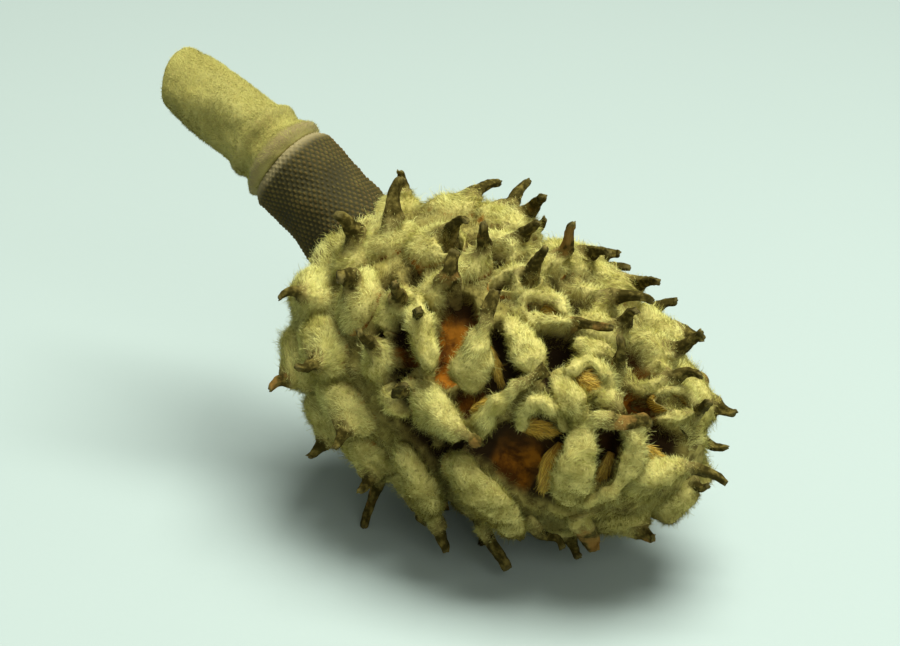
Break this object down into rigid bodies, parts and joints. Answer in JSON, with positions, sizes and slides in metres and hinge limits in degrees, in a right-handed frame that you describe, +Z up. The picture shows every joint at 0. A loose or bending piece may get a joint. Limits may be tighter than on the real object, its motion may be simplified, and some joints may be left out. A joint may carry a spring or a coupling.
{
  "type": "magnolia seed pod",
  "caption": "Dry magnolia seed pod: a woolly egg-shaped cone of beaked follicles, some gaping and empty, with its scar collar and a piece of cut stalk.",
  "frame": {"origin": "centre of the bounding box, on the surface that the pod lies on", "axes": "+X along the cone from its base to its apex, +Z up as it lies"},
  "size_m": [0.106, 0.0568, 0.0646],
  "materials": {
    "wool": "pale olive wool over dry brown wood, with dark olive beaks and straw seed cavities",
    "scar_bark": "matt dark brown bark with a net of small scars",
    "stalk_felt": "matt straw-coloured felt"
  },
  "bodies": {
    "root": {"cone": "wool", "scar_collar": "scar_bark", "stalk": "stalk_felt"}
  },
  "joints": []
}
